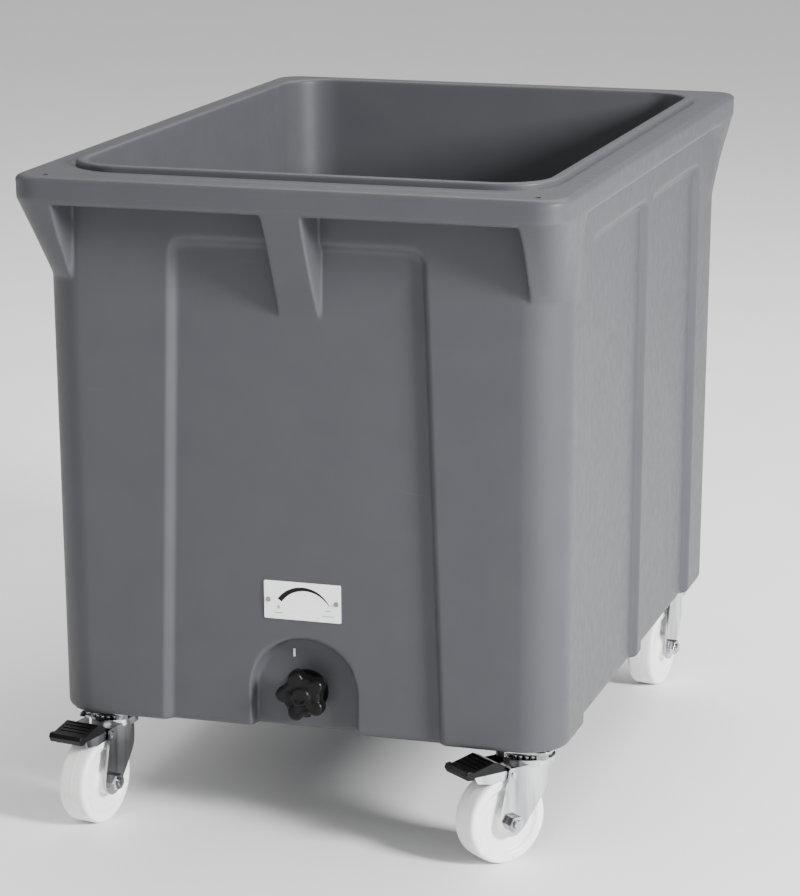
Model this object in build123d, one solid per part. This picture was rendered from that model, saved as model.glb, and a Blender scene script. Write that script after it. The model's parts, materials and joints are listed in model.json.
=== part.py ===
from build123d import *
import math
import os

# Wheeled, open-topped, double-walled tote for ice, with a drain valve and four swivel castors.
# Millimetres.  Origin: middle of the tote at floor level.  +X right, -Y front, +Z up.

# Overall frame
castor_height = 130.0
body_bottom = castor_height
lip_under = 716.0
rim_top = 746.0
collar_top = 752.0

# Outer skin: a drafted box under a wider rim
bottom_width = 582.0
bottom_depth = 790.0
top_width = 590.0
top_depth = 814.0
body_corner = 48.0
bottom_edge = 9.0
rim_width = 612.0
rim_depth = 920.0
rim_corner = 28.0
rim_round = 6.0
skin = 5.0

# Recessed fields in the walls
panel_depth = 9.0
panel_step = 7.5
panel_top = 680.0
panel_width_top = 288.0
panel_width_bottom = 324.0
panel_corner = 18.0
side_depth = 8.0
side_step = 6.0
side_half = 279.0
side_rib = 20.0

# Gussets under the lips
centre_gusset = 48.0
centre_gusset_foot = 597.0
corner_gusset_inner = 256.0
corner_gusset_foot = 619.0
gusset_nose = 4.0

# Foam space and inner liner
cavity_bottom_width = 555.0
cavity_bottom_depth = 762.0
cavity_top_width = 562.0
cavity_top_depth = 788.0
cavity_corner = 40.0
floor_height = 165.0
floor_rise = 6.0
void_bottom_width = 482.0
void_bottom_depth = 704.0
void_top_width = 522.0
void_top_depth = 772.0
void_corner = 55.0
floor_round = 26.0
collar_width = 545.6
collar_depth = 797.6
collar_corner = 66.0
collar_round = 2.5
seat_gap = 0.2
cut_past = 1.0

# Rim land details
groove_behind_lip = 31.0
groove_width = 2.4
groove_deep = 1.2
tether_x = 272.0
tether_y = 438.0
tether_radius = 3.5
tether_depth = 12.0
groove_end = 30.0

# Drain recess and drain valve (axis along Y)
arch_half = 62.0
arch_face = 371.0
drain_height = 174.0
sump_half = 36.0
sump_back = 316.0
sump_floor = 144.0
boss_radius = 30.0
boss_face = 350.0
barrel_radius = 17.0
bore_radius = 11.0
running_gap = 0.05
flange_radius = 24.0
flange_front = 374.0
gasket_front = 372.5
head_radius = 18.5
head_front = 387.0
bonnet_radius = 17.5
bonnet_front = 390.0
barrel_inner_end = 336.0
nut_front = 350.0
nut_back = 342.5
nut_flats = 46.0
strainer_radius = 20.0
strainer_back = 328.0
strainer_wall = 2.0
slot_pitch = 6.0
slot_width = 2.4
slot_deep = 14.0
slot_height = 26.0
spout_radius = 5.5
spout_bore = 3.5
spout_axis = 380.0
spout_end = 146.0
spindle_bore = 7.5
seal_front = 366.4
seal_back = 364.0
seal_root = 9.2
seal_play = 0.1
stub_radius = 5.0
stub_front = 399.0
port_radius = 3.5
knob_radius = 29.5
knob_lobes = 5
knob_turn = 18.0
knob_valley = 23.0
lobe_radius = 9.0
valley_round = 3.5
knob_round = 2.5
knob_back = 386.0
knob_front = 403.0
knob_recess = 20.5
knob_recess_front = 391.0
knob_boss_radius = 10.0
grub_y = 395.0
grub_radius = 2.0
grub_middle = 10.5
grub_length = 10.6
tick_width = 2.2
tick_left = 16.0
tick_height = 9.0

# Label plate
label_width = 88.0
label_height = 43.0
label_thick = 1.2
label_corner = 1.2
label_centre = 280.0
rivet_x = 39.0
rivet_head = 2.8
rivet_shank = 1.6
rivet_head_high = 1.4
rivet_head_round = 0.8
rivet_length = 6.2
rivet_hole_length = 14.0

# Castors
castor_x = 244.5
castor_y = 344.5
trail = 38.0
wheel_radius = 50.0
wheel_half = 17.0
wheel_shoulder = 9.0
hub_half = 20.5
hub_radius = 14.0
axle_radius = 5.0
axle_hex = 17.0
axle_head_high = 6.4
axle_nut_high = 8.4
axle_tip = 11.0
sleeve_radius = 7.95
fork_inner = 22.0
fork_plate = 3.0
plate_x = 66.0
plate_y = 76.0
plate_thick = 3.5
plate_corner = 14.0
bolt_dx = 22.0
bolt_dy = 27.0
bolt_radius = 4.0
bolt_top = 143.0
bolt_head_flats = 13.0
bolt_head_high = 5.3
washer_radius = 7.6
washer_thick = 1.5
insert_radius = 6.0
insert_top = 146.0
insert_boss_radius = 10.0
insert_boss_top = 149.0
race_bottom = 119.5
race_radius = 26.0
race_lower_radius = 23.0
ball_radius = 2.45
ball_ring = 19.5
ball_count = 18
ball_height = 116.9
crown_top = 114.1
crown_bottom = 109.0
crown_radius = 30.0
skirt_high = 2.4
skirt_thick = 2.0
kingpin_radius = 6.0
kingpin_head = 11.0
kingpin_bottom = 104.2

# Brake of the two front castors (station = distance from the swivel axis along the trail)
pin_station = trail - 2
pin_height = 104.0
pin_radius = 2.5
brake_travel = 9.0
lever_top = 109.0
lever_half = 20.5
lever_plate = 2.0
pin_head_radius = 4.2
pin_head_thick = 1.6
pedal_half = 21.0
pedal_top_station = 24.0
pedal_crest = 121.3
pedal_slope = 0.232
rib_pitch = 6.0
rib_first = 27.0
rib_cut = 1.8

CASTORS = {
    "front_left": {"place": (-castor_x, -castor_y), "angle": -101.3, "brake": True},
    "front_right": {"place": (castor_x, -castor_y), "angle": -129.3, "brake": True},
    "rear_left": {"place": (-castor_x, castor_y), "angle": -84.0, "brake": False},
    "rear_right": {"place": (castor_x, castor_y), "angle": -97.0, "brake": False},
}

front_draft = math.degrees(math.atan2((top_depth - bottom_depth) / 2, lip_under - body_bottom))
side_draft = math.degrees(math.atan2((top_width - bottom_width) / 2, lip_under - body_bottom))


# ---------------------------------------------------------------- helpers
def save(shape, name):
    export_step(shape, os.path.join("parts", name + ".step"))


def drafted_box(low, high, size_low, size_high, corner):
    """A box with four flat drafted walls and rounded upright corners."""
    reach = max(size_high) + 20
    box = Pos(0, 0, (low + high) / 2) * Box(2 * reach, 2 * reach, high - low)
    for turn in range(4):
        half_low = size_low[turn % 2] / 2
        half_high = size_high[turn % 2] / 2
        lean = (half_high - half_low) / (high - low)
        beyond = 5.0
        section = Polyline(
            (half_low - lean * beyond, low - beyond),
            (half_high + lean * beyond, high + beyond),
            (3 * reach, high + beyond),
            (3 * reach, low - beyond),
            close=True,
        )
        box -= Rot(0, 0, 90 * turn) * extrude(Plane.XZ * make_face(section), 2 * reach, both=True)
    uprights = [e for e in box.edges() if e.bounding_box().size.Z > (high - low) / 2]
    return fillet(uprights, corner)


def rounded_block(low, high, width, depth, corner):
    return extrude(Plane.XY.offset(low) * RectangleRounded(width, depth, corner), high - low)


def rod(radius, start, end, x=0.0, z=drain_height):
    """A round bar along Y between two distances in front of the tote's middle."""
    first, last = min(start, end), max(start, end)
    return Pos(x, -(first + last) / 2, z) * Rot(90, 0, 0) * Cylinder(radius, last - first)


def upright(radius, low, high, x=0.0, y=0.0):
    return Pos(x, y, (low + high) / 2) * Cylinder(radius, high - low)


def hexagon_prism(flats, thick):
    return extrude(RegularPolygon(flats / 2, 6, major_radius=False), thick)


def front_wall(height):
    """Distance of the proud front wall from the tote's middle at a height."""
    return bottom_depth / 2 + (height - body_bottom) * math.tan(math.radians(front_draft))


def side_wall(height):
    return bottom_width / 2 + (height - body_bottom) * math.tan(math.radians(side_draft))


def mirrored_front(shape):
    """The same shape at the rear."""
    return Rot(0, 0, 180) * shape


def edges_at(shape, height, slack=0.05):
    return [e for e in shape.edges() if abs(e.center().Z - height) < slack and _flat(e, slack)]


def _flat(edge, slack):
    box = edge.bounding_box()
    return box.max.Z - box.min.Z < slack


# ---------------------------------------------------------------- outer shell
def panel_recess():
    """The drafted, step-edged field of the front wall; it runs out at the bottom edge."""
    run_out = 40.0
    spread = (panel_width_bottom - panel_width_top) / 2 / (panel_top - body_bottom)
    low = body_bottom - run_out
    half_low = panel_width_bottom / 2 + run_out * spread
    half_top = panel_width_top / 2
    outline = Polyline(
        (-half_low, low), (half_low, low), (half_top, panel_top), (-half_top, panel_top), close=True
    )
    face = make_face(outline)
    corners = [v for v in face.vertices() if v.Y > panel_top - 1]
    face = fillet(corners, panel_corner)
    step_angle = math.degrees(math.atan2(panel_step, panel_depth))
    block = extrude(face, -panel_depth, taper=step_angle) + extrude(face, 20)
    return place_on_front(block)


def place_on_front(flat):
    """Stand a shape drawn in X and height, with its depth along +Z, on the drafted front wall."""
    wall = Plane(origin=(0, -front_wall(0), 0), x_dir=(1, 0, 0), z_dir=_front_normal())
    return wall * flat


def _front_normal():
    a = math.radians(front_draft)
    return (0, -math.cos(a), -math.sin(a))


def side_recess(sign):
    """Two step-edged fields in a side wall, parted by a rib in the middle."""
    run_out = 40.0
    low = body_bottom - run_out
    step_angle = math.degrees(math.atan2(side_step, side_depth))
    blocks = []
    for near, far in ((-side_half, -side_rib / 2), (side_rib / 2, side_half)):
        outline = Polyline((near, low), (far, low), (far, panel_top), (near, panel_top), close=True)
        face = make_face(outline)
        corners = [v for v in face.vertices() if v.Y > panel_top - 1]
        face = fillet(corners, panel_corner)
        blocks.append(extrude(face, -side_depth, taper=step_angle) + extrude(face, 20))
    a = math.radians(side_draft)
    wall = Plane(
        origin=(sign * side_wall(0), 0, 0),
        x_dir=(0, sign, 0),
        z_dir=(sign * math.cos(a), 0, -math.sin(a)),
    )
    return [wall * b for b in blocks]


def gusset(x_from, x_to, foot):
    """A wedge under the front lip, from the lip's nose back to the wall at its foot."""
    nose = rim_depth / 2 - gusset_nose
    inner = cavity_top_depth / 2 - 12
    foot_y = front_wall(foot) - panel_depth * (foot < corner_gusset_foot)
    side = Polyline(
        (-nose, lip_under + 2), (-foot_y, foot), (-inner, foot), (-inner, lip_under + 2), close=True
    )
    return Pos((x_from + x_to) / 2, 0, 0) * extrude(
        Plane.YZ * make_face(side), (x_to - x_from) / 2, both=True
    )


def gussets():
    centre = gusset(-centre_gusset / 2, centre_gusset / 2, centre_gusset_foot)
    outer = side_wall(lip_under) - 1
    right = gusset(corner_gusset_inner, outer, corner_gusset_foot)
    left = gusset(-outer, -corner_gusset_inner, corner_gusset_foot)
    return [centre, right, left]


def arch_block(half, face, top_radius):
    """The round-topped pocket of the drain, grown from the bottom edge."""
    depth = bottom_depth / 2 + 40 - face
    mid = -(face + depth / 2)
    low = body_bottom - 40
    upright_part = Pos(0, mid, (low + drain_height) / 2) * Box(2 * half, depth, drain_height - low)
    round_part = Pos(0, mid, drain_height) * Rot(90, 0, 0) * Cylinder(top_radius, depth)
    return upright_part + round_part


def foam_space():
    """Everything between the two skins, before the drain and the liner take their room."""
    box = drafted_box(
        body_bottom + skin,
        lip_under,
        (cavity_bottom_width, cavity_bottom_depth),
        (cavity_top_width, cavity_top_depth),
        cavity_corner,
    )
    box -= arch_block(arch_half + skin, arch_face - skin, arch_half + skin)
    for x, y in insert_places():
        box -= upright(insert_boss_radius, body_bottom, insert_boss_top, x, y)
    return box


def outer_shell():
    shell = drafted_box(
        body_bottom, lip_under + 4, (bottom_width, bottom_depth), rim_joint_size(), body_corner
    )
    shell = fillet(edges_at(shell, body_bottom), bottom_edge)
    shell -= panel_recess()
    shell -= mirrored_front(panel_recess())
    for sign in (-1, 1):
        for block in side_recess(sign):
            shell -= block
    for wedge in gussets():
        shell += wedge
        shell += mirrored_front(wedge)
    rim = rounded_block(lip_under, rim_top, rim_width, rim_depth, rim_corner)
    rim = fillet(edges_at(rim, rim_top) + edges_at(rim, lip_under), rim_round)
    shell += rim
    shell -= arch_block(arch_half, arch_face, arch_half)
    shell -= foam_space()
    shell -= rounded_block(
        lip_under - 1, rim_top + 1, collar_width + 2 * seat_gap, collar_depth + 2 * seat_gap, collar_corner
    )
    shell -= rod(barrel_radius + seat_gap, arch_face - skin - 5, arch_face + 5)
    for sign in (-1, 1):
        shell -= tether_hole(sign, -1)
        groove_y = rim_depth / 2 - groove_behind_lip
        shell -= Pos(0, sign * groove_y, rim_top) * Box(
            rim_width - 2 * groove_end, groove_width, 2 * groove_deep
        )
        shell -= rivet_hole(sign)
    for x, y in insert_places():
        shell -= upright(insert_radius, body_bottom - 1, insert_top, x, y)
    return shell


def rim_joint_size():
    """Outline of the drafted body carried up to the middle of the rim."""
    extra = 4 / (lip_under - body_bottom)
    return (
        top_width + (top_width - bottom_width) * extra,
        top_depth + (top_depth - bottom_depth) * extra,
    )


def rivet_hole(sign):
    """Hole for one of the label's rivets, through the recessed field of the front wall."""
    seat = Pos(sign * rivet_x, label_centre, -panel_depth)
    return place_on_front(seat * Cylinder(rivet_shank + seat_gap, rivet_hole_length))


def tether_hole(sign_x, sign_y):
    return upright(tether_radius, rim_top - tether_depth, rim_top + 1, sign_x * tether_x, sign_y * tether_y)


def index_tick():
    """The white painted mark above and to the left of the knob."""
    tick_z = drain_height + knob_radius + 12
    return Pos(-tick_left, -arch_face - 0.3, tick_z) * Box(tick_width, 0.6, tick_height)


# ---------------------------------------------------------------- inner liner and foam
def liner_void():
    """The usable inside: drafted walls over a floor that rises towards the rear."""
    box = drafted_box(
        floor_height,
        collar_top + 4,
        (void_bottom_width, void_bottom_depth),
        (void_top_width, void_top_depth),
        void_corner,
    )
    box -= floor_wedge()
    floor = box.faces().sort_by(Axis.Z)[0]
    return fillet(floor.edges(), floor_round)


def floor_wedge():
    """Room taken by the sloping floor, so that water runs to the drain in front."""
    half = void_bottom_depth / 2 + 60
    low = floor_height - 20
    rise = floor_rise * half / (void_bottom_depth / 2)
    mid = floor_height + floor_rise / 2
    corners = [(-half, low), (half, low), (half, mid + rise / 2), (-half, mid - rise / 2)]
    side = Polyline(*corners, close=True)
    return extrude(Plane.YZ * make_face(side), void_bottom_width, both=True)


def liner_envelope():
    """Outside of the liner: drafted tub, collar and drain sump."""
    grow = 2 * skin
    tub = drafted_box(
        floor_height - skin,
        lip_under,
        (void_bottom_width + grow, void_bottom_depth + grow),
        (void_top_width + grow - 2.0, void_top_depth + grow - 4.0),
        void_corner + skin,
    )
    collar = rounded_block(lip_under, collar_top, collar_width, collar_depth, collar_corner)
    collar = fillet(edges_at(collar, collar_top), collar_round)
    front = void_bottom_depth / 2 + skin
    sump = Pos(0, -(front + sump_back - skin) / 2, (sump_floor - skin + floor_height) / 2) * Box(
        2 * (sump_half + skin), front - sump_back + skin, floor_height - sump_floor + skin
    )
    return tub + collar + sump


def inner_liner():
    liner = liner_envelope() - liner_void()
    liner += rod(boss_radius, boss_face, void_bottom_depth / 2 + skin / 2) - sump_pocket()
    liner -= sump_pocket()
    liner -= rod(barrel_radius + seat_gap, boss_face - 5, void_bottom_depth / 2 + 20)
    return liner


def sump_pocket():
    """The low place in the floor, in front, that the drain empties."""
    high = floor_height + floor_round
    return Pos(0, -(boss_face + sump_back) / 2, (sump_floor + high) / 2) * Box(
        2 * sump_half, boss_face - sump_back, high - sump_floor
    )


def foam_core():
    foam = foam_space() - liner_envelope()
    foam -= rod(barrel_radius + seat_gap, boss_face - 5, arch_face + 5)
    for sign in (-1, 1):
        foam -= rivet_hole(sign)
    return foam


# ---------------------------------------------------------------- drain valve
def drain_body():
    """Barrel through both skins, flange, head and a small spout that points down."""
    body = rod(barrel_radius, barrel_inner_end, flange_front)
    body += rod(flange_radius, gasket_front, flange_front)
    body += rod(head_radius, flange_front, head_front)
    body += upright(spout_radius, spout_end, drain_height, 0, -spout_axis)
    body -= rod(bore_radius, barrel_inner_end - 1, head_front + 1)
    body -= upright(spout_bore, spout_end - 1, drain_height, 0, -spout_axis)
    return body


def drain_gasket():
    ring = rod(flange_radius - 1, arch_face, gasket_front)
    return ring - rod(barrel_radius, arch_face - 1, gasket_front + 1)


def drain_nut():
    nut = hexagon_prism(nut_flats, nut_front - nut_back)
    nut = Pos(0, -nut_back, drain_height) * Rot(90, 0, 0) * nut
    return nut - rod(barrel_radius, nut_back - 1, nut_front + 1)


def drain_strainer():
    """A slotted cup pressed over the barrel's end inside the tub."""
    cup = rod(strainer_radius, strainer_back, nut_back)
    cup -= rod(barrel_radius, strainer_back + strainer_wall, nut_back + cut_past)
    for step in range(-2, 3):
        slot = Box(slot_width, slot_deep, slot_height)
        cup -= Pos(step * slot_pitch, -strainer_back, drain_height) * slot
    return cup


def drain_spindle():
    """Hollow plug that turns in the bore; its side port meets the spout when it is open."""
    fit = bore_radius - running_gap
    plug = rod(fit, barrel_inner_end + 2, head_front - 0.3)
    plug -= rod(spindle_bore, barrel_inner_end, spout_axis + port_radius + 0.5)
    side_port = Rot(0, 90, 0) * Cylinder(port_radius, fit + 4)
    side_port = Pos(fit / 2 + 2, -spout_axis, drain_height) * side_port
    plug -= side_port
    groove = rod(fit + cut_past, seal_back, seal_front) - seal_core()
    plug -= groove
    return plug + rod(stub_radius, head_front - 1, stub_front)


def drain_seal():
    ring = rod(bore_radius - running_gap, seal_back + seal_play, seal_front - seal_play)
    return ring - seal_core()


def seal_core():
    """The spindle's neck inside the seal ring."""
    return rod(seal_root, seal_back - cut_past, seal_front + cut_past)


def drain_bonnet():
    cap = rod(bonnet_radius, head_front, bonnet_front)
    return cap - rod(stub_radius + running_gap, head_front - cut_past, bonnet_front + cut_past)


def star_outline():
    """Round core with lobes around it; the valleys between them are rounded."""
    star = Circle(knob_valley)
    for k in range(knob_lobes):
        a = math.radians(90 + knob_turn + 360 / knob_lobes * k)
        reach = knob_radius - lobe_radius
        star += Pos(reach * math.cos(a), reach * math.sin(a)) * Circle(lobe_radius)
    valleys = [v for v in star.vertices() if abs(math.hypot(v.X, v.Y) - knob_valley) < 0.1]
    return fillet(valleys, valley_round)


def drain_knob():
    """Star knob with a domed boss in front and a back recess over the valve's head."""
    face_depth = knob_front - 1 - knob_back
    star = extrude(star_outline(), face_depth)
    star = fillet([e for e in star.edges() if abs(e.center().Z - face_depth) < 0.05], knob_round)
    body = Pos(0, -knob_back, drain_height) * Rot(90, 0, 0) * star
    body += rod(knob_boss_radius, knob_front - 2, knob_front)
    body -= rod(knob_recess, knob_back - 1, knob_recess_front)
    body -= rod(stub_radius, knob_recess_front - 1, stub_front)
    return body - grub_hole()


def grub_hole():
    return Pos(0, -grub_y, drain_height - knob_radius / 2) * Cylinder(grub_radius, 22)


def knob_grub_screw():
    return Pos(0, -grub_y, drain_height - grub_middle) * Cylinder(grub_radius - 0.02, grub_length)


# ---------------------------------------------------------------- label
def label_plate():
    outline = RectangleRounded(label_width, label_height, label_corner)
    plate = Pos(0, label_centre, -panel_depth) * extrude(outline, label_thick)
    for sign in (-1, 1):
        hole = Cylinder(rivet_shank + running_gap, rivet_hole_length)
        plate -= Pos(sign * rivet_x, label_centre, -panel_depth) * hole
    return place_on_front(plate)


def label_rivets():
    rivets = []
    for sign in (-1, 1):
        head = Pos(0, 0, rivet_head_high / 2) * Cylinder(rivet_head, rivet_head_high)
        head = fillet([e for e in head.edges() if e.center().Z > rivet_head_high - 0.1], rivet_head_round)
        shank = Pos(0, 0, -rivet_length / 2) * Cylinder(rivet_shank, rivet_length)
        seat = Pos(sign * rivet_x, label_centre, label_thick - panel_depth)
        rivets.append(place_on_front(seat * (head + shank)))
    return Compound(children=rivets)


# ---------------------------------------------------------------- castors
def insert_places():
    for name in CASTORS:
        x, y = CASTORS[name]["place"]
        for sx in (-1, 1):
            for sy in (-1, 1):
                yield x + sx * bolt_dx, y + sy * bolt_dy


def top_plate():
    low = castor_height - plate_thick
    plate = rounded_block(low, castor_height, plate_x, plate_y, plate_corner)
    dish = Pos(0, 0, (race_bottom + low) / 2) * Cone(race_lower_radius, race_radius, low - race_bottom)
    plate += dish
    for sx in (-1, 1):
        for sy in (-1, 1):
            plate -= upright(bolt_radius + 0.5, low - 1, castor_height + 1, sx * bolt_dx, sy * bolt_dy)
    return plate - upright(kingpin_radius, race_bottom - 1, castor_height + 1)


def kingpin():
    pin = upright(kingpin_radius, kingpin_bottom, castor_height)
    return pin + upright(kingpin_head, kingpin_bottom, crown_bottom - 0.4)


def race_balls():
    return Compound(
        children=[
            Rot(0, 0, 360 / ball_count * k) * Pos(ball_ring, 0, ball_height) * Sphere(ball_radius)
            for k in range(ball_count)
        ]
    )


def fork_side():
    """Side outline of the pressed fork, drawn in station and height."""
    arm = Polyline(
        (-25.5, crown_top),
        (-25.5, 105),
        (trail - 14, 41),
        (trail + 14, 41),
        (trail + 15, 56),
        (trail + 4, 106),
        (trail + 4, crown_top),
        close=True,
    )
    return make_face(arm) + Pos(trail, wheel_radius) * Circle(16)


def fork():
    """A pressed hood: crown, two cheeks and a rounded back that wraps behind the wheel."""
    outer = fork_inner + fork_plate
    plan = Circle(outer) + Pos(40, 0) * Rectangle(80, 2 * outer)
    hollow = Circle(fork_inner) + Pos(41, 0) * Rectangle(82, 2 * fork_inner)
    low = 30.0
    hood = extrude(Plane.XY.offset(low) * plan, crown_bottom + fork_plate - low)
    hood -= extrude(Plane.XY.offset(low - 1) * hollow, crown_bottom - low + 1)
    hood &= extrude(Plane.XZ * fork_side(), 60, both=True)
    hood += upright(crown_radius, crown_bottom, crown_top)
    skirt = upright(crown_radius, crown_top, crown_top + skirt_high)
    skirt -= upright(crown_radius - skirt_thick, crown_top - cut_past, race_bottom)
    hood += skirt
    hood -= upright(kingpin_radius + running_gap, 100, 120)
    hood -= cross_bar(axle_radius + 0.1, 60, trail, wheel_radius)
    return hood


def cross_bar(radius, length, station, height, shift=0.0):
    """A round bar across the castor, along its axle direction."""
    return Pos(station, shift, height) * Rot(90, 0, 0) * Cylinder(radius, length)


def axle_bolt():
    outer = fork_inner + fork_plate
    head = Pos(trail, -outer, wheel_radius) * Rot(90, 0, 0) * hexagon_prism(axle_hex, axle_head_high)
    shank_end = outer + axle_tip
    return head + cross_bar(axle_radius, outer + shank_end, trail, wheel_radius, (shank_end - outer) / 2)


def axle_nut():
    outer = fork_inner + fork_plate
    nut = Rot(90, 0, 0) * hexagon_prism(axle_hex, axle_nut_high)
    nut = Pos(trail, outer + axle_nut_high, wheel_radius) * nut
    return nut - cross_bar(axle_radius, 80, trail, wheel_radius)


def axle_sleeve():
    tube = cross_bar(sleeve_radius, 2 * fork_inner, trail, wheel_radius)
    return tube - cross_bar(axle_radius + 0.1, 80, trail, wheel_radius)


def wheel():
    """Solid wheel with a rounded tread, dished faces and a long hub."""
    bore = sleeve_radius + running_gap
    dish = wheel_half - 3.5
    half = [(bore, 0), (bore, hub_half), (hub_radius, hub_half), (hub_radius + 2, dish), (38, dish)]
    half += [(40.5, wheel_half - 0.6)]
    shoulder = wheel_radius - wheel_shoulder
    outline = Polyline(*half, (shoulder, wheel_half))
    arc_mid = (
        shoulder + wheel_shoulder * math.sin(math.pi / 4),
        wheel_half - wheel_shoulder * (1 - math.cos(math.pi / 4)),
    )
    arc = ThreePointArc((shoulder, wheel_half), arc_mid, (wheel_radius, wheel_half - wheel_shoulder))
    close = Polyline((wheel_radius, wheel_half - wheel_shoulder), (wheel_radius, 0), (bore, 0))
    section = make_face(outline + arc + close)
    ring = revolve(section, Axis.Y, 360)
    ring += mirror(ring, Plane.XZ)
    return Pos(trail, 0, wheel_radius) * ring


def brake_pin():
    outer = fork_inner + fork_plate
    pin = cross_bar(pin_radius, 2 * outer, pin_station, pin_height)
    for sign in (-1, 1):
        pin += cross_bar(
            pin_head_radius, pin_head_thick, pin_station, pin_height, sign * (outer + pin_head_thick / 2)
        )
    return pin


def brake_lever():
    """Steel channel on the pin; its cheeks straddle the wheel's shoulders."""
    top = lever_top
    cheek = make_face(
        Polyline((0, 99.8), (26, 97), (46, 101), (50, top), (8, top), (7, 107.5), (0, 108.2), close=True)
    )
    cheek += Pos(0, pin_height) * Circle(pin_head_radius)
    solid = extrude(Plane.XZ * cheek, lever_half, both=True)
    inner = lever_half - lever_plate
    solid -= Pos(26, 0, top - lever_plate - 10) * Box(70, 2 * inner, 20)
    solid -= cross_bar(pin_radius + 0.06, 80, 0, pin_height)
    return Pos(pin_station, 0, 0) * solid


def brake_shoe():
    """Block under the lever, shaped to the tread in its locked place and lifted to rest."""
    block = Pos(trail + 21, 0, 102) * Box(12, 26, 14)
    block -= cross_bar(wheel_radius + 0.4, 80, trail, wheel_radius)
    about = Pos(pin_station, 0, pin_height)
    lifted = about * Rot(0, -brake_travel, 0) * about.inverse() * block
    under = lever_top - lever_plate
    return lifted & Pos(trail + 24, 0, under - 47) * Box(80, 60, 94)


def brake_pedal():
    """Black tread plate on the lever, with a raised lip at its tip and grip grooves."""
    side = Polyline(
        (11, lever_top),
        (11, 115.5),
        (16, 118.4),
        (pedal_top_station, 121.5),
        (52, 115),
        (55, 117.5),
        (60, 117),
        (62, 112.5),
        (59, 107),
        (50.6, 106.2),
        (50.6, lever_top),
        close=True,
    )
    tread = extrude(Plane.XZ * make_face(side), pedal_half, both=True)
    ends = [e for e in tread.edges() if abs(abs(e.center().Y) - pedal_half) < 0.05 and e.center().X > 52]
    tread = fillet(ends, 1.2)
    for k in range(4):
        station = rib_first + rib_pitch * k
        slope_height = pedal_crest - (station - pedal_top_station) * pedal_slope
        tread -= Pos(station, 0, slope_height) * Box(rib_cut, 2 * pedal_half - 8, 2.4)
    return Pos(pin_station, 0, 0) * tread


def at_castor(shape, name):
    x, y = CASTORS[name]["place"]
    return Location((x, y, 0), (0, 0, CASTORS[name]["angle"])) * shape


def plate_bolts():
    """Sixteen hex screws that hold the castor plates to the moulded inserts."""
    top = castor_height - plate_thick - washer_thick
    screws = []
    for x, y in insert_places():
        head = Pos(x, y, top - bolt_head_high) * hexagon_prism(bolt_head_flats, bolt_head_high)
        screws.append(head + upright(bolt_radius, top - 1, bolt_top, x, y))
    return Compound(children=screws)


def plate_washers():
    top = castor_height - plate_thick
    rings = []
    for x, y in insert_places():
        ring = upright(washer_radius, top - washer_thick, top, x, y)
        rings.append(ring - upright(bolt_radius + 0.2, top - 5, top + 5, x, y))
    return Compound(children=rings)


def mount_inserts():
    inserts = []
    for x, y in insert_places():
        tube = upright(insert_radius, body_bottom, insert_top, x, y)
        inserts.append(tube - upright(bolt_radius + running_gap, body_bottom - 1, bolt_top + 0.5, x, y))
    return Compound(children=inserts)


def write_castors():
    plate = {"top_plate": top_plate(), "kingpin": kingpin(), "race_balls": race_balls()}
    swivel = {
        "fork": fork(),
        "axle_bolt": axle_bolt(),
        "axle_nut": axle_nut(),
        "axle_sleeve": axle_sleeve(),
        "wheel": wheel(),
    }
    brake = {"brake_pin": brake_pin(), "brake_lever": brake_lever()}
    brake.update({"brake_shoe": brake_shoe(), "brake_pedal": brake_pedal()})
    braked_fork = swivel["fork"] - cross_bar(pin_radius + 0.02, 60, pin_station, pin_height)
    for name, castor in CASTORS.items():
        x, y = castor["place"]
        for part, shape in plate.items():
            save(Pos(x, y, 0) * shape, name + "_" + part)
        for part, shape in swivel.items():
            chosen = braked_fork if part == "fork" and castor["brake"] else shape
            save(at_castor(chosen, name), name + "_" + part)
        if castor["brake"]:
            for part, shape in brake.items():
                save(at_castor(shape, name), name + "_" + part)


def write_tote():
    save(outer_shell(), "outer_shell")
    save(inner_liner(), "inner_liner")
    save(foam_core(), "foam_core")
    save(index_tick(), "index_tick")
    save(mount_inserts(), "mount_inserts")
    save(plate_bolts(), "plate_bolts")
    save(plate_washers(), "plate_washers")
    save(label_plate(), "label_plate")
    save(label_rivets(), "label_rivets")
    valve = (drain_body, drain_gasket, drain_nut, drain_strainer, drain_spindle, drain_seal, drain_bonnet)
    for make in valve + (drain_knob, knob_grub_screw):
        save(make(), make.__name__)


os.makedirs("parts", exist_ok=True)
write_tote()
write_castors()
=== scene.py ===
import json
import math

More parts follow.
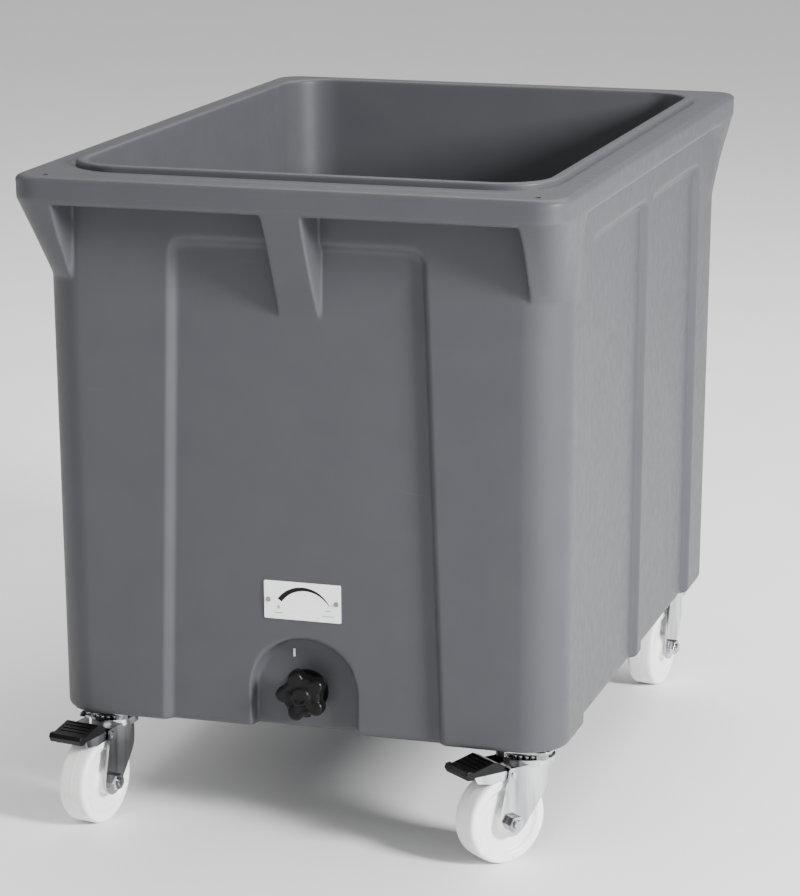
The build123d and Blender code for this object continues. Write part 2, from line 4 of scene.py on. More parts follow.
import bmesh
import bpy
import numpy as np
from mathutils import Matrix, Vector

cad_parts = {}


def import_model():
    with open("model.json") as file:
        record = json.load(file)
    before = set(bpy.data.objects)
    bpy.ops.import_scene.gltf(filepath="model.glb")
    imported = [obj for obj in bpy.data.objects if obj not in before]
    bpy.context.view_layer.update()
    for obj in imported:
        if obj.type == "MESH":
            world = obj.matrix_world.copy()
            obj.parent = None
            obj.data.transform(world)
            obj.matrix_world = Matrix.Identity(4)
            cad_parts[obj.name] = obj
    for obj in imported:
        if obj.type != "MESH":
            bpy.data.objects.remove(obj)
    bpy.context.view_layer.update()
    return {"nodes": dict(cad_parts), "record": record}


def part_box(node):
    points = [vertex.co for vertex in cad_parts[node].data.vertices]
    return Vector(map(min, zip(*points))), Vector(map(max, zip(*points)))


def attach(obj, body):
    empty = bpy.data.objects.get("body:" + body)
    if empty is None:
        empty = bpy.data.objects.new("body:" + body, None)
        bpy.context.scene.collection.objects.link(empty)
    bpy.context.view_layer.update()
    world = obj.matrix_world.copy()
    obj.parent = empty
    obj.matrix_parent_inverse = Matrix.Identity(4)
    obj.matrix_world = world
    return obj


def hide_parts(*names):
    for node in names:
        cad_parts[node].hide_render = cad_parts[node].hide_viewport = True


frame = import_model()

# Wheeled ice tote: moulded skins, drain valve with its label, and four castors.
# Shapes are worked out in millimetres and turned into metres when a mesh is made.
MM = 0.001


def node_box(node):
    """Lowest and highest corner of a CAD node, in millimetres."""
    low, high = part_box(node)
    return np.array(low) / MM, np.array(high) / MM


shell_low, shell_high = node_box("outer_shell")
liner_low, liner_high = node_box("inner_liner")
knob_low, knob_high = node_box("drain_knob")

# Outer skin
body_bottom = shell_low[2]
lip_under = 716.0
rim_top = shell_high[2]
bottom_half = (291.0, 395.0)
top_half = (295.0, 407.0)
body_corner = 48.0
rim_half = (shell_high[0], shell_high[1])
rim_corner = 28.0
rim_round = 6.0
nose_steps = 5
bottom_round = 6.0
under_insets = (60.0, 40.0, 24.0, 14.0)
collar_half = (liner_high[0], liner_high[1])
collar_corner = 66.0
collar_seat = 3.0
skin = 5.0
cavity_top_half = (281.0, 394.0)
cavity_floor_half = (255.5, 359.0)
cavity_corner = 40.0
cavity_floor = body_bottom + skin + 0.3

# Rim land: distances of its rows from the outer edge, close together at the fine groove
land_reaches = (4, 12, 18, 21.6, 23.2, 24.4, 25, 25.6, 26.8, 28.4, 32, 40, 48)
groove_rows = slice(5, 8)
groove_half = 262.0
groove_from = 425.0
groove_depth = 1.3

# Recesses and gussets
panel_depth = 9.0
panel_step = 7.5
panel_top = 680.0
panel_half_top = 144.0
panel_half_bottom = 162.0
side_depth = 8.0
side_step = 6.0
side_half = 279.0
side_rib_half = 10.0
recess_corner = 18.0
arch_half = 62.0
arch_face = 371.0
arch_step = 2.6
drain_height = (knob_low[2] + knob_high[2]) / 2
centre_gusset_half = 24.0
centre_gusset_foot = 597.0
corner_gusset_inner = 256.0
corner_gusset_foot = 617.0
gusset_fade = 2.6
corner_fade_from = 330.0
corner_fade_run = 24.0

# Where the fields may act: only past these planes, fading out on the underside
end_wall_from = 388.0
end_field_reach = 230.0
side_wall_from = 284.0
side_field_reach = 320.0
under_fade = 60.0

# The mould rounds every edge a little; the grid is relaxed to match
relax_passes = 2
relax_share = 0.42
rim_relax = 0.25

# Inner tub
void_floor_half = (241.0, 352.0)
void_top_half = (261.0, 386.0)
void_corner = 55.0
floor_height = liner_low[2] + 26.0
floor_rise = 6.0
floor_round = 26.0
collar_round = 3.0
fall_from = 320.0
fall_run = 120.0
sump_half = 36.0
sump_front = -350.0
sump_rear = -316.0
sump_corner = 9.0
sump_floor = 144.0
barrel_hole = 17.2
barrel_face = -394.0
barrel_reach = 46.0

# Tether holes in the front of the rim land
tether_place = (272.0, -438.0)
tether_radius = 3.5
tether_depth = 12.0
tether_lead = 0.9
tether_lead_depth = 0.7
above_rim = 5.0

# Drain knob and label
knob_radius = 29.5
knob_foot = 5.0
knob_wall = 11.0
knob_round = 4.6
knob_saddle = 1.3
knob_valley = 22.6
lobe_radius = 9.0
lobe_turn = 2 * math.pi / 5
knob_turn = math.radians(18)
valley_soft = 0.55
label_thick = 1.2
ink_thick = 0.08
ink_sunk = 0.02


# ---------------------------------------------------------------- mesh helpers
def new_object(name, verts, faces, material, crease=50.0):
    """A closed mesh from points in millimetres, with outward normals and soft shading."""
    mesh = bpy.data.meshes.new(name)
    mesh.from_pydata([tuple(v * MM for v in p) for p in verts], [], faces)
    obj = bpy.data.objects.new(name, mesh)
    bpy.context.scene.collection.objects.link(obj)
    mesh.materials.append(material)
    settle(mesh, crease)
    return obj


def settle(mesh, crease):
    """Turn the faces outwards and shade smooth except across edges sharper than the crease."""
    work = bmesh.new()
    work.from_mesh(mesh)
    bmesh.ops.recalc_face_normals(work, faces=work.faces)
    work.to_mesh(mesh)
    work.free()
    mesh.polygons.foreach_set("use_smooth", [True] * len(mesh.polygons))
    mesh.set_sharp_from_angle(angle=math.radians(crease))


def carve(obj, cutter, crease=50.0):
    """Cut one mesh out of another, and drop the cutter."""
    cut = obj.modifiers.new("cut", "BOOLEAN")
    cut.operation = "DIFFERENCE"
    cut.solver = "EXACT"
    cut.object = cutter
    ready = obj.evaluated_get(bpy.context.evaluated_depsgraph_get())
    mesh = bpy.data.meshes.new_from_object(ready)
    obj.modifiers.clear()
    obj.data = mesh
    bpy.data.objects.remove(cutter)
    mesh.set_sharp_from_angle(angle=math.radians(crease))


def place(obj, body, slot, *nodes):
    """Join a finished piece to its body, and hide the nodes it stands for."""
    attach(obj, body)
    if nodes:
        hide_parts(*nodes)
    return obj


def prism(name, outline, low, high, material):
    """An upright prism over an outline in X and Y, in millimetres."""
    n = len(outline)
    verts = [(x, y, low) for x, y in outline] + [(x, y, high) for x, y in outline]
    faces = [tuple(range(n)), tuple(range(n, 2 * n))]
    faces += [(k, (k + 1) % n, n + (k + 1) % n, n + k) for k in range(n)]
    return new_object(name, verts, faces, material)


def circle(radius, steps, centre):
    turns = [2 * math.pi * k / steps for k in range(steps)]
    return [(centre[0] + radius * math.cos(t), centre[1] + radius * math.sin(t)) for t in turns]


def eased(points, cuts, steps=5):
    """A closed outline with each corner rounded by a short curve that starts `cut` before it."""
    out = []
    count = len(points)
    for k in range(count):
        before, here, after = (np.array(points[(k + d) % count], float) for d in (-1, 0, 1))
        if cuts[k] == 0:
            out.append(tuple(here))
            continue
        start = here + (before - here) * min(0.5, cuts[k] / np.linalg.norm(before - here))
        stop = here + (after - here) * min(0.5, cuts[k] / np.linalg.norm(after - here))
        for t in np.linspace(0, 1, steps + 1):
            out.append(tuple((1 - t) ** 2 * start + 2 * t * (1 - t) * here + t * t * stop))
    return out


def lathe(name, section, centre, axis, steps, material, crease=50.0):
    """Turn a closed section, given as (radius, distance along), about an axis."""
    axis = Vector(axis).normalized()
    across = axis.orthogonal().normalized()
    third = axis.cross(across)
    centre = Vector(centre)
    verts = []
    for radius, along in section:
        for k in range(steps):
            turn = 2 * math.pi * k / steps
            arm = across * math.cos(turn) + third * math.sin(turn)
            verts.append(tuple(centre + axis * along + arm * radius))
    rows = len(section)
    faces = []
    for r in range(rows):
        for c in range(steps):
            n, below = (c + 1) % steps, (r + 1) % rows
            faces.append((r * steps + c, r * steps + n, below * steps + n, below * steps + c))
    return new_object(name, verts, faces, material, crease)


def grid_faces(rows, cols):
    """Quads of a grid whose rows run round the object."""
    faces = []
    for r in range(rows - 1):
        for c in range(cols):
            n = (c + 1) % cols
            faces.append((r * cols + c, r * cols + n, (r + 1) * cols + n, (r + 1) * cols + c))
    return faces


def spread(*runs):
    """Sample places from runs of (start, stop, step)."""
    places = []
    for start, stop, step in runs:
        count = max(1, round(abs(stop - start) / step))
        places += [start + (stop - start) * k / count for k in range(count)]
    places.append(runs[-1][1])
    return np.array(places)


def quarter(steps):
    """Angles of a quarter turn in equal steps, both ends included."""
    return np.linspace(0, math.pi / 2, steps + 1)


def smoothstep(t):
    t = np.clip(t, 0.0, 1.0)
    return t * t * (3 - 2 * t)


# ---------------------------------------------------------------- plan outlines
class Loop:
    """Shared columns round the tote: equal X on front and rear, equal Y on the sides."""

    def __init__(self, xs, ys, corner_count):
        self.xs = xs
        self.ys = ys
        self.taus = np.linspace(0, 1, corner_count + 2)[1:-1]

    def quadrant(self, half, corner):
        """Points from the middle of the front to the middle of a side, both measured outwards."""
        hx, hy = half
        front_y = self.front(self.xs, hx, hy, corner)
        side_x = self.front(self.ys, hy, hx, corner)
        path = self.corner_path(half, corner)
        front = np.stack([self.xs, front_y], 1)
        side = np.stack([side_x, self.ys], 1)
        return np.concatenate([front, path, side])

    @staticmethod
    def front(x, hx, hy, corner):
        over = np.clip(np.abs(x) - (hx - corner), 0, corner)
        return hy - corner + np.sqrt(np.maximum(corner**2 - over**2, 0))

    def corner_path(self, half, corner):
        hx, hy = half
        x_end, y_end = self.xs[-1], self.ys[0]
        angles = np.linspace(0, math.pi / 2, 181)
        arc = np.stack([hx - corner + corner * np.sin(angles), hy - corner + corner * np.cos(angles)], 1)
        path = np.concatenate([[[0, hy]], arc, [[hx, 0]]])
        length = np.concatenate([[0], np.cumsum(np.hypot(*np.diff(path, axis=0).T))])
        start = np.interp(x_end, path[:, 0], length)
        stop = np.interp(-y_end, -path[:, 1], length)
        wanted = start + (stop - start) * self.taus
        return np.stack([np.interp(wanted, length, path[:, 0]), np.interp(wanted, length, path[:, 1])], 1)

    def ring(self, half, corner):
        """The whole loop, from the middle of the front round by the right side."""
        q = self.quadrant(half, corner)
        right_front = q * [1, -1]
        right_rear = q[::-1][1:]
        left_rear = q[1:] * [-1, 1]
        left_front = q[::-1][1:-1] * [-1, -1]
        return np.concatenate([right_front, right_rear, left_rear, left_front])


def body_half(z):
    """Half width and half depth of the plain body at a height."""
    t = (z - body_bottom) / (lip_under - body_bottom)
    return tuple(b + (h - b) * t for b, h in zip(bottom_half, top_half))


def wall_at(z, axis):
    """How far out the plain wall stands at a height, along X (0) or Y (1)."""
    return np.interp(z, [body_bottom, lip_under], [bottom_half[axis], top_half[axis]])


def inset(half, by):
    return (half[0] - by, half[1] - by)


def rounded_distance(x, z, half, top, corner):
    """Signed distance to a field with rounded top corners that is open at the bottom."""
    qx = np.abs(x) - half + corner
    qz = z - top + corner
    outside = np.hypot(np.maximum(qx, 0), np.maximum(qz, 0))
    return outside + np.minimum(np.maximum(qx, qz), 0) - corner


# ---------------------------------------------------------------- outer shell
def shell_rows(loop):
    """Rows of the shell from the underside over the wall, lip and rim land to the inner side.

    Each row is (ring of XY, Z, zone). The zones run under, wall, ledge, lip, top, land, inside.
    """
    rows = []
    for by in under_insets:
        rows.append((loop.ring(inset(bottom_half, by), body_corner), body_bottom, "under"))
    for a in quarter(5)[:-1]:
        z = body_bottom + bottom_round * (1 - math.cos(a))
        half = inset(body_half(z), bottom_round * (1 - math.sin(a)))
        rows.append((loop.ring(half, body_corner), z, "wall"))
    for z in spread((body_bottom + bottom_round, 250, 2.3), (250, 585, 14), (585, 712, 3.0)):
        rows.append((loop.ring(body_half(z), body_corner), z, "wall"))
    foot = loop.ring(body_half(lip_under), body_corner)
    nose = loop.ring(inset(rim_half, rim_round), rim_corner)
    for t in np.linspace(0, 1, 14)[:-1]:
        rows.append((foot + (nose - foot) * t, lip_under, "ledge"))
    for a in quarter(nose_steps):
        half = inset(rim_half, rim_round * (1 - math.sin(a)))
        rows.append((loop.ring(half, rim_corner), lip_under + rim_round * (1 - math.cos(a)), "lip"))
    for z in np.linspace(lip_under + rim_round, rim_top - rim_round, 6)[1:-1]:
        rows.append((loop.ring(rim_half, rim_corner), z, "lip"))
    for a in quarter(6):
        half = inset(rim_half, rim_round * (1 - math.cos(a)))
        rows.append((loop.ring(half, rim_corner), rim_top - rim_round * (1 - math.sin(a)), "top"))
    inner_half = inset(collar_half, collar_seat)
    inner = loop.ring(inner_half, collar_corner)
    land = rim_half[1] - rim_round - inner_half[1]
    for reach in (*land_reaches, land):
        rows.append((nose + (inner - nose) * reach / land, rim_top, "land"))
    rows.append((inner, lip_under, "inside"))
    rows.append((loop.ring(cavity_top_half, cavity_corner), lip_under - 0.5, "inside"))
    rows.append((loop.ring(cavity_floor_half, cavity_corner), cavity_floor, "inside"))
    return rows


def shell_grid():
    """The shell's points, with columns close together at the sides of each field and gusset."""
    xs = spread(
        (0, 19, 4.5), (19, 29.5, 1.05), (29.5, 56, 2.6), (56, 68, 1.2), (68, 136, 11), (136, 172, 1.9),
        (172, 246, 12), (246, 266, 1.4)
    )
    ys = spread((340, 290, 12), (290, 270, 1.6), (270, 20, 25), (20, 4, 1.5), (4, 0, 4))
    rows = shell_rows(Loop(xs, ys, 14))
    P = np.array([[(x, y, z) for x, y in ring] for ring, z, _ in rows])
    zones = [zone for _, _, zone in rows]
    recess_fields(P, np.array([zone in ("under", "wall") for zone in zones]))
    add_gussets(P, zones)
    cut_groove(P, zones)
    return smooth_grid(P, zones)


def recess_fields(P, on_wall):
    """Press the front, rear and side fields and the drain arch into the wall."""
    W = P[on_wall]
    x, y, z = W[..., 0], W[..., 1], W[..., 2]
    at_foot = z < body_bottom + bottom_round
    under_shift = under_fade * (z <= body_bottom)

    wall = wall_at(z, 1)
    ends = (np.abs(y) > end_wall_from - under_shift) & (np.abs(x) < end_field_reach)
    rise = (z - body_bottom) / (panel_top - body_bottom)
    half = panel_half_bottom - (panel_half_bottom - panel_half_top) * rise
    field = rounded_distance(x, z, half, panel_top, recess_corner)
    depth = panel_depth * np.clip(-field / panel_step, 0, 1) * ends
    arch_distance = np.where(z < drain_height, np.abs(x), np.hypot(x, z - drain_height)) - arch_half
    in_arch = np.clip(-arch_distance / arch_step, 0, 1) * ends * (y < 0)
    depth = depth + (wall - arch_face - depth) * in_arch
    under = np.clip((wall - np.abs(y)) / under_fade, 0, 1) * at_foot
    W[..., 1] -= np.sign(y) * depth * (1 - under)

    wall = wall_at(z, 0)
    sides = (np.abs(x) > side_wall_from - under_shift) & (np.abs(y) < side_field_reach)
    centre = (side_half + side_rib_half) / 2
    field = rounded_distance(np.abs(y) - centre, z, (side_half - side_rib_half) / 2, panel_top, recess_corner)
    depth = side_depth * np.clip(-field / side_step, 0, 1) * sides
    under = np.clip((wall - np.abs(x)) / under_fade, 0, 1) * at_foot
    W[..., 0] -= np.sign(x) * depth * (1 - under)
    P[on_wall] = W


def add_gussets(P, zones):
    """Fill wedges under the lips: one in the middle of each end and one round each corner."""
    nose = max(i for i, zone in enumerate(zones) if zone == "ledge") + nose_steps + 1
    step = np.hypot(*np.moveaxis(np.diff(P[:, 0, 1:], axis=0), -1, 0))
    run = np.concatenate([[0], np.cumsum(step)])
    on_end = np.abs(P[0, :, 1]) > 300.0
    for foot_z, kind in ((centre_gusset_foot, "centre"), (corner_gusset_foot, "corner")):
        foot = min(i for i, zone in enumerate(zones) if zone == "wall" and P[i, 0, 2] >= foot_z)
        t = np.clip((run - run[foot]) / (run[nose] - run[foot]), 0, 1)[: nose + 1, None, None]
        wedge = P[foot] + (P[nose] - P[foot]) * t
        mean = (wedge + P[: nose + 1]) / 2
        ax, ay = np.abs(mean[..., 0]), np.abs(mean[..., 1])
        if kind == "centre":
            inside = smoothstep((centre_gusset_half + gusset_fade - ax) / (2 * gusset_fade)) * on_end
        else:
            inside = smoothstep((ax - corner_gusset_inner + gusset_fade) / (2 * gusset_fade))
            inside *= smoothstep((ay - corner_fade_from) / corner_fade_run)
        inside = inside * (np.arange(nose + 1) >= foot)[:, None]
        P[: nose + 1] += (wedge - P[: nose + 1]) * inside[..., None]


def cut_groove(P, zones):
    """A fine groove across the rim land of both ends."""
    land = [i for i, zone in enumerate(zones) if zone == "land"]
    for i in land[groove_rows]:
        ends = (np.abs(P[i, :, 1]) > groove_from) & (np.abs(P[i, :, 0]) < groove_half)
        P[i, :, 2] -= groove_depth * ends


def smooth_grid(P, zones):
    """Round the edges the way a rotational mould does, by relaxing the grid a little."""
    shares = {"under": 0.0, "inside": 0.0, "top": rim_relax, "land": rim_relax}
    hold = np.array([shares.get(zone, 1.0) for zone in zones])[:, None, None]
    for _ in range(relax_passes):
        around = (np.roll(P, 1, axis=1) + np.roll(P, -1, axis=1)) / 2
        along = P.copy()
        along[1:-1] = (P[2:] + P[:-2]) / 2
        P = P + hold * relax_share * ((around + along) / 2 - P)
    return P


def build_shell(material):
    """The outer skin with its lips, gussets and recesses, and two tether holes in the rim."""
    P = shell_grid()
    rows, cols, _ = P.shape
    faces = grid_faces(rows, cols)
    faces.append(tuple(range(cols))[::-1])
    faces.append(tuple((rows - 1) * cols + c for c in range(cols)))
    shell = new_object("tote_shell", P.reshape(-1, 3), faces, material)
    for sign in (-1, 1):
        centre = (sign * tether_place[0], tether_place[1])
        for radius, deep in ((tether_radius, tether_depth), (tether_radius + tether_lead, tether_lead_depth)):
            outline = circle(radius, 40, centre)
            carve(shell, prism("cutter", outline, rim_top - deep, rim_top + above_rim, material))
    return place(shell, "tote", "tote_plastic", "outer_shell")


# ---------------------------------------------------------------- inner tub
def tub_half(z):
    """Half width and half depth of the tub's inside at a height."""
    t = (z - floor_height) / (liner_high[2] + 4 - floor_height)
    return tuple(b + (h - b) * t for b, h in zip(void_floor_half, void_top_half))


def tub_rows():
    """Rows of the tub, as (half sizes, corner, Z): up the outside over the collar, then down the inside."""
    top = liner_high[2]
    outside = []
    for by in (30.0, 8.0, 0.0):
        z = liner_low[2] - 3 + (by == 0)
        outside.append((inset(tub_half(floor_height), by - skin), void_corner + skin, z))
    outside.append((inset(tub_half(lip_under), -skin + 1.0), void_corner + skin, lip_under))
    for z in (lip_under + 0.5, rim_top - 6, rim_top - 1.0, rim_top + 0.6):
        outside.append((collar_half, collar_corner, z))
    for a in quarter(8):
        by = collar_round * (1 - math.cos(a))
        outside.append((inset(collar_half, by), collar_corner - by, top - collar_round * (1 - math.sin(a))))
    inside = []
    for a in quarter(8):
        by = collar_round * (math.sin(a) - 1)
        z = top - collar_round * (1 - math.cos(a))
        inside.append((inset(tub_half(z), by), void_corner + by * 0.5, z))
    for z in np.linspace(top - collar_round - 4, floor_height + floor_round + 4, 26):
        inside.append((tub_half(z), void_corner, z))
    for a in quarter(10):
        by = floor_round * (1 - math.cos(a))
        z = floor_height + floor_round * (1 - math.sin(a))
        inside.append((inset(tub_half(floor_height + floor_round), by), void_corner - by * 0.75, z))
    return outside, inside


def build_tub(material):
    """The inner tub with its raised collar, a floor that falls to the front, and the drain sump."""
    loop = Loop(spread((0, 168, 8)), spread((270, 0, 9)), 26)
    outside, inside = tub_rows()
    P = np.array([[(x, y, z) for x, y in loop.ring(half, corner)] for half, corner, z in outside + inside])
    count, cols, _ = P.shape
    is_inside = (np.arange(count) >= len(outside))[:, None]
    fade = np.clip((fall_from - P[..., 2]) / fall_run, 0, 1)
    P[..., 2] += is_inside * fade * floor_rise * (P[..., 1] / (2 * void_floor_half[1]) + 0.5)
    faces = grid_faces(count, cols)
    faces.append(tuple(range(cols)))
    faces.append(tuple((count - 1) * cols + c for c in range(cols)))
    tub = new_object("inner_tub", P.reshape(-1, 3), faces, material)
    left, right = -sump_half, sump_half
    pocket = [(left, sump_front), (right, sump_front), (right, sump_rear), (left, sump_rear)]
    carve(tub, prism("cutter", eased(pocket, [sump_corner] * 4), sump_floor, floor_height + 30, material))
    barrel = [(0.0, 0.0), (barrel_hole, 0.0), (barrel_hole, barrel_reach), (0.0, barrel_reach)]
    carve(tub, lathe("cutter", barrel, (0, barrel_face, drain_height), (0, 1, 0), 64, material))
    return place(tub, "tote", "tote_plastic", "inner_liner")


# ---------------------------------------------------------------- drain knob
def knob_outline(turn):
    """Radius of the five-lobed outline at an angle from straight up."""
    away = (turn + knob_turn + lobe_turn / 2) % lobe_turn - lobe_turn / 2
    reach = knob_radius - lobe_radius
    under = np.maximum(lobe_radius**2 - (reach * np.sin(away)) ** 2, 0)
    lobe = reach * np.cos(away) + np.sqrt(under)
    return valley_soft * np.logaddexp(lobe / valley_soft, knob_valley / valley_soft)


def build_knob(material):
    """The five-lobed knob: a round foot, a lobed wall with a rounded edge, and a cap in the middle."""
    turns = np.linspace(0, 2 * math.pi, 241)[:-1]
    outline = np.minimum(knob_outline(turns), knob_radius)
    lobe_share = (outline - outline.min()) / (outline.max() - outline.min())
    back, front = -knob_high[1], -knob_low[1]
    face = back + knob_wall + knob_round
    rows = [("circle", 20.5, back + knob_foot), ("circle", 20.5, back + 0.6), ("circle", 21.2, back)]
    rows += [("inset", 1.2, back), ("inset", 0.35, back + 0.3), ("inset", 0.0, back + 1.2)]
    rows += [("inset", 0.0, back + d) for d in (4.0, 8.0, knob_wall)]
    for a in quarter(8)[1:]:
        rows.append(("inset", knob_round * (1 - math.cos(a)), back + knob_wall + knob_round * math.sin(a)))
    rows += [("blend", t, face - 1.1 * math.sin(math.pi / 2 * t)) for t in (0.15, 0.35, 0.55, 0.75, 0.92)]
    rows += [("circle", 11.0, face - 1.0), ("circle", 10.3, face - 0.6), ("circle", 10.0, front - 0.7)]
    rows += [("circle", 9.6, front - 0.2), ("circle", 8.9, front), ("circle", 6.5, front)]
    rows += [("circle", 6.0, front - 0.5), ("circle", 3.0, front - 0.6)]
    verts = []
    for kind, value, depth in rows:
        radius = {
            "circle": np.full_like(outline, value),
            "inset": outline - value,
            "blend": (outline - knob_round) * (1 - value) + 11.6 * value,
        }[kind]
        saddle = knob_saddle * (1 - lobe_share) * (depth > back + knob_wall - 0.5) * (kind != "circle")
        for turn, r, drop in zip(turns, radius, saddle):
            verts.append((r * math.sin(turn), drop - depth, drain_height + r * math.cos(turn)))
    cols = len(turns)
    faces = grid_faces(len(rows), cols)
    faces.append(tuple(range(cols)))
    faces.append(tuple((len(rows) - 1) * cols + c for c in range(cols)))
    knob = new_object("star_knob", verts, faces, material)
    return place(knob, "drain_valve", "black_plastic", "drain_knob")


# ---------------------------------------------------------------- label print
def on_label(x, up, lift):
    """A point on the face of the label plate, from its middle."""
    low, high = node_box("label_plate")
    middle = (low + high) / 2
    lean = math.atan2(top_half[1] - bottom_half[1], lip_under - body_bottom)
    out = label_thick / 2 + lift
    y = middle[1] - out * math.cos(lean) - up * math.sin(lean)
    return (x, y, middle[2] - out * math.sin(lean) + up * math.cos(lean))


def printed(name, outline, material):
    """A printed mark: a closed outline in label coordinates, a tenth of a millimetre thick."""
    n = len(outline)
    verts = [on_label(x, up, -ink_sunk) for x, up in outline]
    verts += [on_label(x, up, ink_thick) for x, up in outline]
    faces = [tuple(range(n)), tuple(range(n, 2 * n))]
    faces += [(k, (k + 1) % n, n + (k + 1) % n, n + k) for k in range(n)]
    return place(new_object(name, verts, faces, material, 30), "tote", "label")


def build_label_print(ink, pale_ink):
    """A flow wedge, thick at the left and fine at the right, over two plain signs."""
    centre, radius = (1.5, -19.5), 33.7
    start, stop = math.radians(145), math.radians(29)
    outer, inner = [], []
    for t in np.linspace(0, 1, 49):
        a = start + (stop - start) * t
        half = 0.3 + 2.5 * (1 - t**1.6)
        outer.append((centre[0] + (radius + half) * math.cos(a), centre[1] + (radius + half) * math.sin(a)))
        inner.append((centre[0] + (radius - half) * math.cos(a), centre[1] + (radius - half) * math.sin(a)))
    printed("label_wedge", outer + inner[::-1], ink)
    turns = np.linspace(0, 2 * math.pi, 33)[:-1]
    drop = [(-27.5 + 1.7 * math.sin(t) * (1 + 0.15 * math.cos(t)), -8.0 - 2.1 * math.cos(t)) for t in turns]
    printed("label_drop", drop, pale_ink)
    bar = eased([(26.5, -9.4), (32.5, -9.4), (32.5, -7.8), (26.5, -7.8)], [0.6] * 4)
    printed("label_bar", bar, pale_ink)
    for side, middle, width in (("left", -27.5, 9.0), ("right", 29.5, 14.0)):
        low, high = -15.2, -14.1
        ends = [(middle - width / 2, low), (middle + width / 2, low), (middle + width / 2, high),
                (middle - width / 2, high)]
        printed(f"label_rule_{side}", eased(ends, [0.4] * 4), pale_ink)


# ---------------------------------------------------------------- castor wheels
def wheel_section():
    """Half a wheel's section mirrored: bore, hub, dished face, round shoulder and crowned tread."""
    half = [(8.0, 20.5), (13.6, 20.5), (16.2, 13.2), (22.0, 12.6), (24.0, 13.2), (35.2, 12.6)]
    half += [(38.8, 16.7), (49.8, 17.0), (49.95, 3.0)]
    cuts = [0.5, 1.0, 2.2, 1.0, 1.0, 3.0, 2.4, 9.0, 0.0]
    seam = [(49.93, 0.5), (50.0, 0.22)]
    points = half + seam + [(r, -y) for r, y in seam[::-1] + half[::-1]]
    return eased(points, cuts + [0.0, 0.0, 0.0, 0.0] + cuts[::-1], 7)


def build_wheels(material):
    section = wheel_section()
    for joint in frame["record"]["behaviour"]["joints"]:
        if not joint["name"].endswith("_wheel_spin"):
            continue
        body = joint["child"]
        centre = [v / MM for v in joint["pos_m"]]
        wheel = lathe(body + "_moulded", section, centre, joint["axis"], 160, material, 35)
        place(wheel, body, "nylon", body)


# ---------------------------------------------------------------- materials
class Finish:
    """A material whose colour, roughness and relief come from its own nodes."""

    def __init__(self, name, metallic=0.0, sockets=None):
        self.material = bpy.data.materials.new(name)
        self.material.use_nodes = True
        self.tree = self.material.node_tree
        self.shader = self.tree.nodes["Principled BSDF"]
        self.shader.inputs["Metallic"].default_value = metallic
        for socket, value in (sockets or {}).items():
            self.shader.inputs[socket].default_value = value
        self.coords = self.tree.nodes.new("ShaderNodeTexCoord").outputs["Object"]
        self.relief = None

    def node(self, kind, links, **settings):
        made = self.tree.nodes.new(kind)
        for key, value in settings.items():
            setattr(made, key, value)
        for socket, source in links.items():
            if isinstance(source, bpy.types.NodeSocket):
                self.tree.links.new(source, made.inputs[socket])
            else:
                made.inputs[socket].default_value = source
        return made

    def at(self, stretch):
        return self.node("ShaderNodeMapping", {"Vector": self.coords, "Scale": stretch}).outputs[0]

    def noise(self, scale, detail=3.0, stretch=(1, 1, 1), twist=0.0):
        links = {"Vector": self.at(stretch), "Scale": scale, "Detail": detail, "Distortion": twist}
        return self.node("ShaderNodeTexNoise", links).outputs["Fac"]

    def cells(self, scale):
        made = self.node("ShaderNodeTexVoronoi", {"Vector": self.coords, "Scale": scale})
        return made.outputs["Distance"]

    def remap(self, value, low, high, to_low, to_high):
        links = {"Value": value, "From Min": low, "From Max": high, "To Min": to_low, "To Max": to_high}
        return self.node("ShaderNodeMapRange", links).outputs["Result"]

    def mix(self, share, first, second):
        made = self.node("ShaderNodeMix", {0: share}, data_type="RGBA")
        for socket, colour in ((6, first), (7, second)):
            if isinstance(colour, bpy.types.NodeSocket):
                self.tree.links.new(colour, made.inputs[socket])
            else:
                made.inputs[socket].default_value = (*colour, 1)
        return made.outputs[2]

    def bump(self, height, strength, distance):
        links = {"Height": height, "Strength": strength, "Distance": distance}
        if self.relief is not None:
            links["Normal"] = self.relief
        self.relief = self.node("ShaderNodeBump", links).outputs["Normal"]

    def done(self, colour, roughness):
        self.tree.links.new(colour, self.shader.inputs["Base Color"])
        self.tree.links.new(roughness, self.shader.inputs["Roughness"])
        if self.relief is not None:
            self.tree.links.new(self.relief, self.shader.inputs["Normal"])
        return self.material


def moulded_polyethylene(name, dark, light):
    """Rotomoulded skin: soft mottle, orange peel, fine pits, and convex edges painted paler, partly as rubbed
    wear and partly as a painted highlight.
    """
    f = Finish(name, sockets={"Specular IOR Level": 0.22})
    mottle = f.noise(18.0, 5.0, twist=0.4)
    base = f.mix(f.remap(mottle, 0.3, 0.7, 0, 1), dark, light)
    speck = f.remap(f.noise(1900.0, 2.0), 0.62, 0.78, 0, 0.5)
    base = f.mix(speck, base, tuple(c * 1.35 for c in light))
    scuff_field = f.noise(16.0, 6.0, (0.35, 1.0, 3.2), 1.8)
    scuff = f.remap(scuff_field, 0.68, 0.76, 0, 0.16)
    base = f.mix(scuff, base, tuple(c * 1.5 for c in light))
    # Convex edges painted paler: partly rubbed wear, partly a painted highlight along the rounded edges.
    edge = f.node("ShaderNodeNewGeometry", {}).outputs["Pointiness"]
    base = f.mix(f.remap(edge, 0.515, 0.57, 0, 0.4), base, tuple(c * 1.6 for c in light))
    f.bump(f.noise(260.0, 3.0), 0.10, 0.0006)
    f.bump(f.noise(1500.0, 2.0), 0.16, 0.00015)
    rough = f.remap(f.noise(90.0, 4.0), 0.3, 0.7, 0.40, 0.48)
    return f.done(base, rough)


